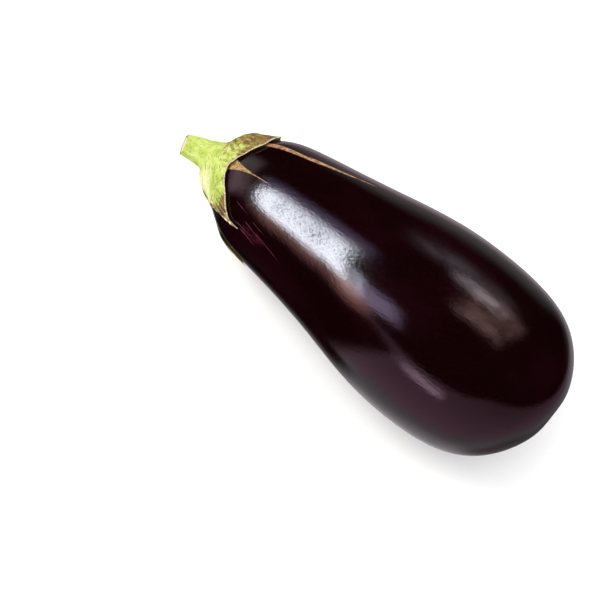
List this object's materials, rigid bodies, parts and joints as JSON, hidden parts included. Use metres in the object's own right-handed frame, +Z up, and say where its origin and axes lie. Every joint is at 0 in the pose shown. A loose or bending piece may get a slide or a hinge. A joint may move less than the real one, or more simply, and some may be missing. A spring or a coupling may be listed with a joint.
{
  "type": "eggplant",
  "caption": "Glossy dark purple pear-shaped eggplant lying on its side, with a green pointed-lobed calyx over its neck and a short cut stem.",
  "frame": {"origin": "centre of the bounding box's bottom face, on the surface the eggplant rests on", "axes": "+X towards the blossom end, stem towards -X, +Z up with the eggplant lying on its side"},
  "size_m": [0.2336, 0.0922, 0.0919],
  "materials": {
    "purple_skin": "glossy waxy near-black purple skin, fading to maroon in places, with tan corky scars by the calyx",
    "green_calyx": "dull yellow-green leafy calyx with olive and brown mottling and thin dry tan edges",
    "green_stem": "dull bright yellow-green ridged stem with a dry tan cut end"
  },
  "bodies": {
    "root": {"fruit": "purple_skin", "calyx": "green_calyx", "stem": "green_stem"}
  },
  "joints": []
}
